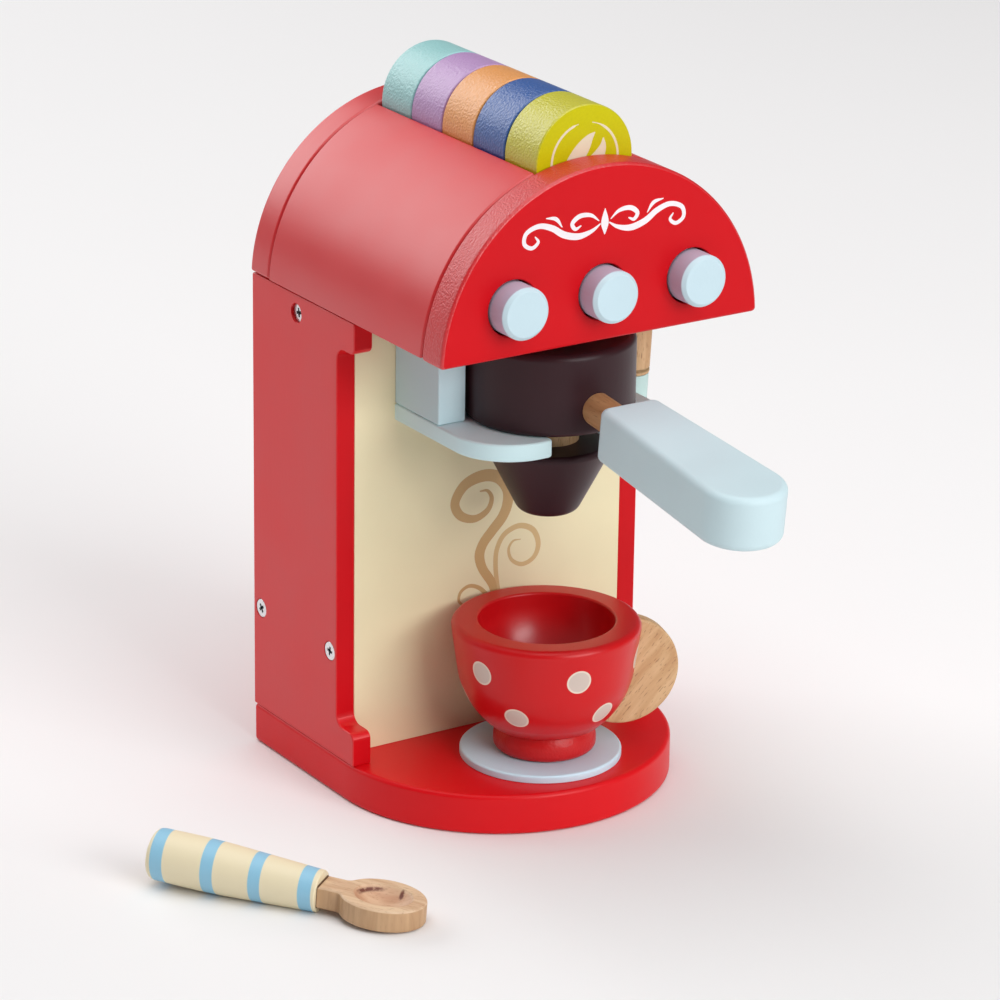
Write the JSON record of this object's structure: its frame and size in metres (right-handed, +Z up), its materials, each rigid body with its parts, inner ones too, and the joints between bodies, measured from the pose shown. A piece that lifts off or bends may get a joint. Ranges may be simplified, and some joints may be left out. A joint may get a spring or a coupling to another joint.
{
  "type": "toy coffee maker",
  "caption": "Painted wooden toy coffee maker: an arched head with push buttons and pods over a fork shelf with a handled filter, a cup on its disc and a spoon.",
  "frame": {"origin": "Centre of the round front of the base board, on its underside", "axes": "X to the right, Y to the rear, Z up"},
  "size_m": [0.2122, 0.2096, 0.2451],
  "materials": {
    "red_paint": "satin paint on wood",
    "cream_paint": "satin paint on wood",
    "pale_blue_paint": "satin paint on wood",
    "dark_brown_paint": "satin paint on wood",
    "beech": "bare sanded beech",
    "steel": "bright zinc plating",
    "lime_paint": "satin paint on wood",
    "royal_blue_paint": "satin paint on wood",
    "orange_paint": "satin paint on wood",
    "lilac_paint": "satin paint on wood",
    "aqua_paint": "satin paint on wood"
  },
  "bodies": {
    "cabinet": {"base_board": "red_paint", "side_panel_left": "red_paint", "side_panel_right": "red_paint", "front_panel": "cream_paint", "back_panel": "red_paint", "top_board": "beech", "head_floor": "red_paint", "head_cover_left": "red_paint", "head_cover_right": "red_paint", "head_front_plate": "red_paint", "head_rear_plate": "red_paint", "pod_trough": "beech", "spring_board": "beech", "fork_shelf": "pale_blue_paint", "shelf_block": "pale_blue_paint", "wand_sleeve": "beech", "wand_nozzle": "pale_blue_paint", "cup_disc": "pale_blue_paint", "side_screws": "steel", "base_screws": "steel", "head_screws": "steel"},
    "button_left": {"button_left": "pale_blue_paint", "stem_left": "beech", "spring_left": "steel"},
    "button_middle": {"button_middle": "pale_blue_paint", "stem_middle": "beech", "spring_middle": "steel"},
    "button_right": {"button_right": "pale_blue_paint", "stem_right": "beech", "spring_right": "steel"},
    "filter_neck": {"filter_neck": "beech"},
    "filter": {"filter_drum": "dark_brown_paint", "filter_cone": "dark_brown_paint", "handle_dowel": "beech", "handle_grip": "pale_blue_paint"},
    "pod_1": {"pod_1": "lime_paint"},
    "pod_2": {"pod_2": "royal_blue_paint"},
    "pod_3": {"pod_3": "orange_paint"},
    "pod_4": {"pod_4": "lilac_paint"},
    "pod_5": {"pod_5": "aqua_paint"},
    "cup": {"cup_bowl": "red_paint", "cup_handle": "beech", "cup_dowels": "beech"},
    "spoon": {"spoon_handle": "cream_paint", "spoon_head": "beech"}
  },
  "joints": [
    {"name": "button_left_push", "type": "slide", "parent": "cabinet", "child": "button_left", "axis": [0, 1, 0], "range_m": [0, 0.005], "stiffness_N_per_m": 150, "springref_m": -0.003, "deforming": ["spring_left"]},
    {"name": "button_middle_push", "type": "slide", "parent": "cabinet", "child": "button_middle", "axis": [0, 1, 0], "range_m": [0, 0.005], "stiffness_N_per_m": 150, "springref_m": -0.003, "deforming": ["spring_middle"]},
    {"name": "button_right_push", "type": "slide", "parent": "cabinet", "child": "button_right", "axis": [0, 1, 0], "range_m": [0, 0.005], "stiffness_N_per_m": 150, "springref_m": -0.003, "deforming": ["spring_right"]},
    {"name": "filter_pull_out", "type": "slide", "parent": "cabinet", "child": "filter_neck", "axis": [0, -1, 0], "range_m": [0, 0.06]},
    {"name": "filter_swing", "type": "hinge", "parent": "filter_neck", "child": "filter", "pos_m": [0.002, -0.0272, 0.1355], "axis": [0, 0, 1], "range_deg": [-75, 78]},
    {"name": "pod_1_lift", "type": "slide", "parent": "cabinet", "child": "pod_1", "axis": [0, 0, 1], "range_m": [0, 0.04]},
    {"name": "pod_2_lift", "type": "slide", "parent": "cabinet", "child": "pod_2", "axis": [0, 0, 1], "range_m": [0, 0.04]},
    {"name": "pod_3_lift", "type": "slide", "parent": "cabinet", "child": "pod_3", "axis": [0, 0, 1], "range_m": [0, 0.04]},
    {"name": "pod_4_lift", "type": "slide", "parent": "cabinet", "child": "pod_4", "axis": [0, 0, 1], "range_m": [0, 0.04]},
    {"name": "pod_5_lift", "type": "slide", "parent": "cabinet", "child": "pod_5", "axis": [0, 0, 1], "range_m": [0, 0.04]},
    {"name": "cup_lift", "type": "slide", "parent": "cabinet", "child": "cup", "axis": [0, 0, 1], "range_m": [0, 0.035]},
    {"name": "spoon_lift", "type": "slide", "parent": "cabinet", "child": "spoon", "axis": [0, 0, 1], "range_m": [0, 0.05]}
  ]
}
